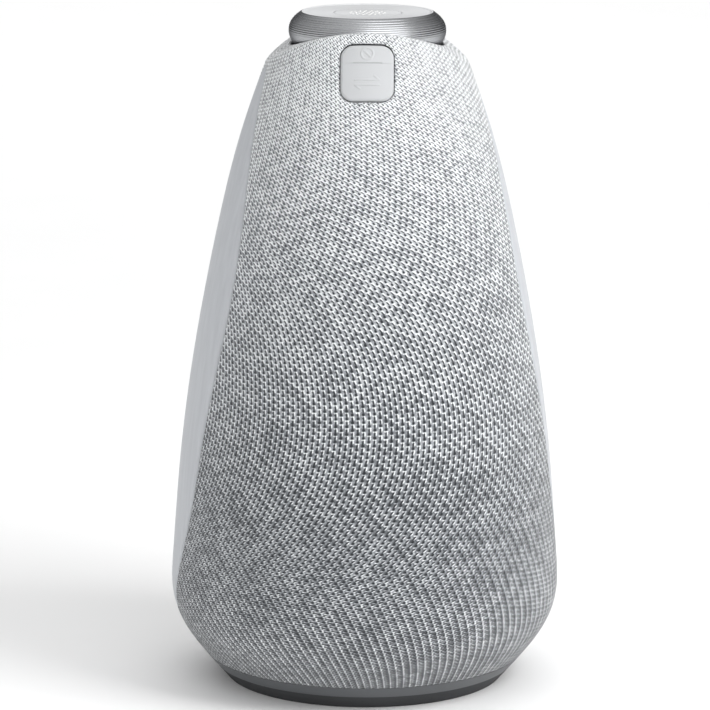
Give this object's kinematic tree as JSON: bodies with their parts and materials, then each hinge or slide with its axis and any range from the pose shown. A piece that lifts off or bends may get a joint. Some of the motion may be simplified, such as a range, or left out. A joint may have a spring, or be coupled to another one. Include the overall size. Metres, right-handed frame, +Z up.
{
  "type": "smart speaker",
  "caption": "Free-standing cone-shaped smart speaker: knit fabric sleeve, two leaf-shaped side panels, grooved metal volume dial on top, soft key pad, down-firing woofer.",
  "frame": {"origin": "centre of the rubber foot's underside, on the surface that the speaker stands on", "axes": "+Z up along the body's axis, through the dial; the key pad faces -Y; the side panels lie on the X axis turned 8.5 degrees towards +Y"},
  "size_m": [0.1394, 0.1394, 0.24],
  "materials": {
    "knit_fabric": "light grey melange knit over a perforated shell",
    "panel_grey": "satin mid-grey moulded plastic",
    "pan_grey": "satin grey moulded plastic",
    "foot_rubber": "matte dark rubber",
    "dial_metal": "turned aluminium with fine concentric grooves",
    "key_soft": "soft light grey elastomer",
    "black_plastic": "black moulded plastic",
    "white_plastic": "milky light guide plastic",
    "board_green": "solder-masked circuit board",
    "chip_black": "moulded component bodies",
    "steel": "zinc-plated steel",
    "tin": "tinned sheet",
    "heat_alu": "extruded aluminium",
    "brass": "turned brass",
    "ferrite": "sintered ferrite",
    "paper_black": "black pulp cone",
    "spider_cloth": "treated cloth suspension",
    "foam_black": "closed-cell foam"
  },
  "bodies": {
    "housing": {"fabric_sleeve": "knit_fabric", "side_panel_left": "panel_grey", "side_panel_right": "panel_grey", "front_housing": "black_plastic", "rear_housing": "black_plastic", "top_cap": "black_plastic", "base_pan": "pan_grey", "rubber_foot": "foot_rubber", "power_jack": "black_plastic", "power_board": "board_green", "transformer": "chip_black", "capacitors": "heat_alu", "acoustic_deflector": "black_plastic", "board_standoffs": "brass", "enclosure_tub": "black_plastic", "lid_gasket": "foam_black", "enclosure_lid": "black_plastic", "woofer_gasket": "foam_black", "woofer_basket": "steel", "front_pole_plate": "steel", "woofer_magnet": "ferrite", "woofer_yoke": "steel", "tweeter_left": "black_plastic", "tweeter_right": "black_plastic", "tweeter_dome_left": "spider_cloth", "tweeter_dome_right": "spider_cloth", "main_board": "board_green", "rf_shield": "tin", "heat_sink": "heat_alu", "mic_board": "board_green", "microphones": "tin", "dial_carrier": "black_plastic", "dial_clip": "steel", "glide_washer": "white_plastic", "encoder_board": "board_green", "led_board": "board_green", "light_guide": "white_plastic", "touch_disc": "dial_metal", "carrier_screws": "steel", "snap_domes": "steel", "key_flex": "board_green", "base_screws": "steel", "side_screws": "steel", "woofer_screws": "steel"},
    "dial": {"dial_ring": "dial_metal", "dial_bush": "brass", "encoder_magnet": "ferrite"},
    "mute_key": {"key_mute": "key_soft"},
    "link_key": {"key_link": "key_soft"},
    "cone": {"woofer_cone": "paper_black", "dust_cap": "paper_black", "woofer_surround": "foot_rubber", "woofer_spider": "spider_cloth"}
  },
  "joints": [
    {"name": "dial_turn", "type": "hinge", "parent": "housing", "child": "dial", "pos_m": [0, 0, 0.2285], "axis": [0, 0, 1], "continuous": true},
    {"name": "mute_press", "type": "slide", "parent": "housing", "child": "mute_key", "axis": [0, 0.9361, -0.3518], "range_m": [0, 0.00035], "stiffness_N_per_m": 4000, "springref_m": -0.0002},
    {"name": "link_press", "type": "slide", "parent": "housing", "child": "link_key", "axis": [0, 0.9361, -0.3518], "range_m": [0, 0.00035], "stiffness_N_per_m": 4000, "springref_m": -0.0002},
    {"name": "cone_stroke", "type": "slide", "parent": "housing", "child": "cone", "axis": [0, 0, -1], "range_m": [-0.0025, 0.0025], "stiffness_N_per_m": 2500, "deforming": ["woofer_surround", "woofer_spider"]}
  ]
}
